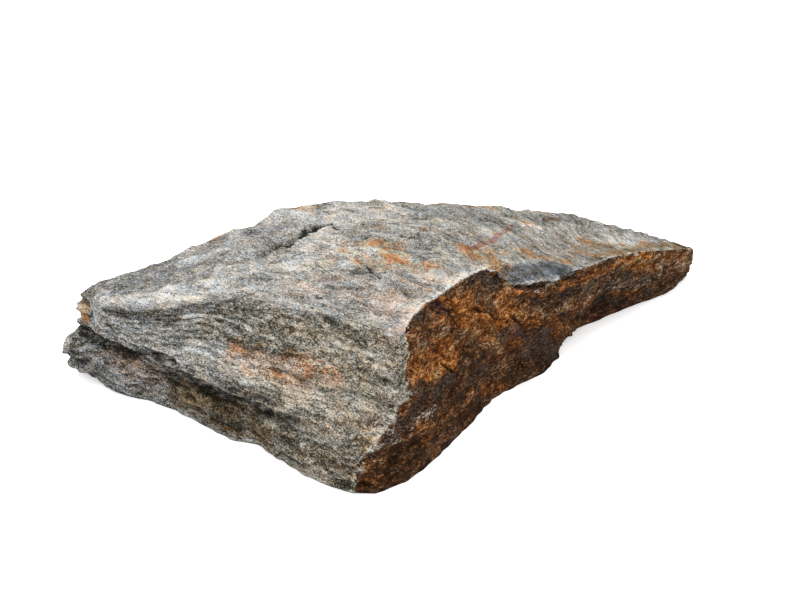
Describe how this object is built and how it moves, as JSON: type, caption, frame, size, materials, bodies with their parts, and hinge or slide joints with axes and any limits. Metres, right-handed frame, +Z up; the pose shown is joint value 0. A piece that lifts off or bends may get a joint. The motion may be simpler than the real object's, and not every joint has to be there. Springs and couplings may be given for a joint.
{
  "type": "gneiss stepping stone",
  "caption": "Loose natural slab of banded gneiss with a flat bed, a gently sloping walkable top and rough broken sides, laid in a path or bed to step on.",
  "frame": {"origin": "centre of the stone's bounding box, on the surface that its flat bed lies on", "axes": "+Z up from the bed to the tread, +X along the stone's length from its blunt left end to the tip of its thin wing, +Y from the near corner to the straight back"},
  "size_m": [0.683, 0.45, 0.132],
  "materials": {
    "gneiss": "matte"
  },
  "bodies": {
    "root": {"stepping_stone": "gneiss"}
  },
  "joints": []
}
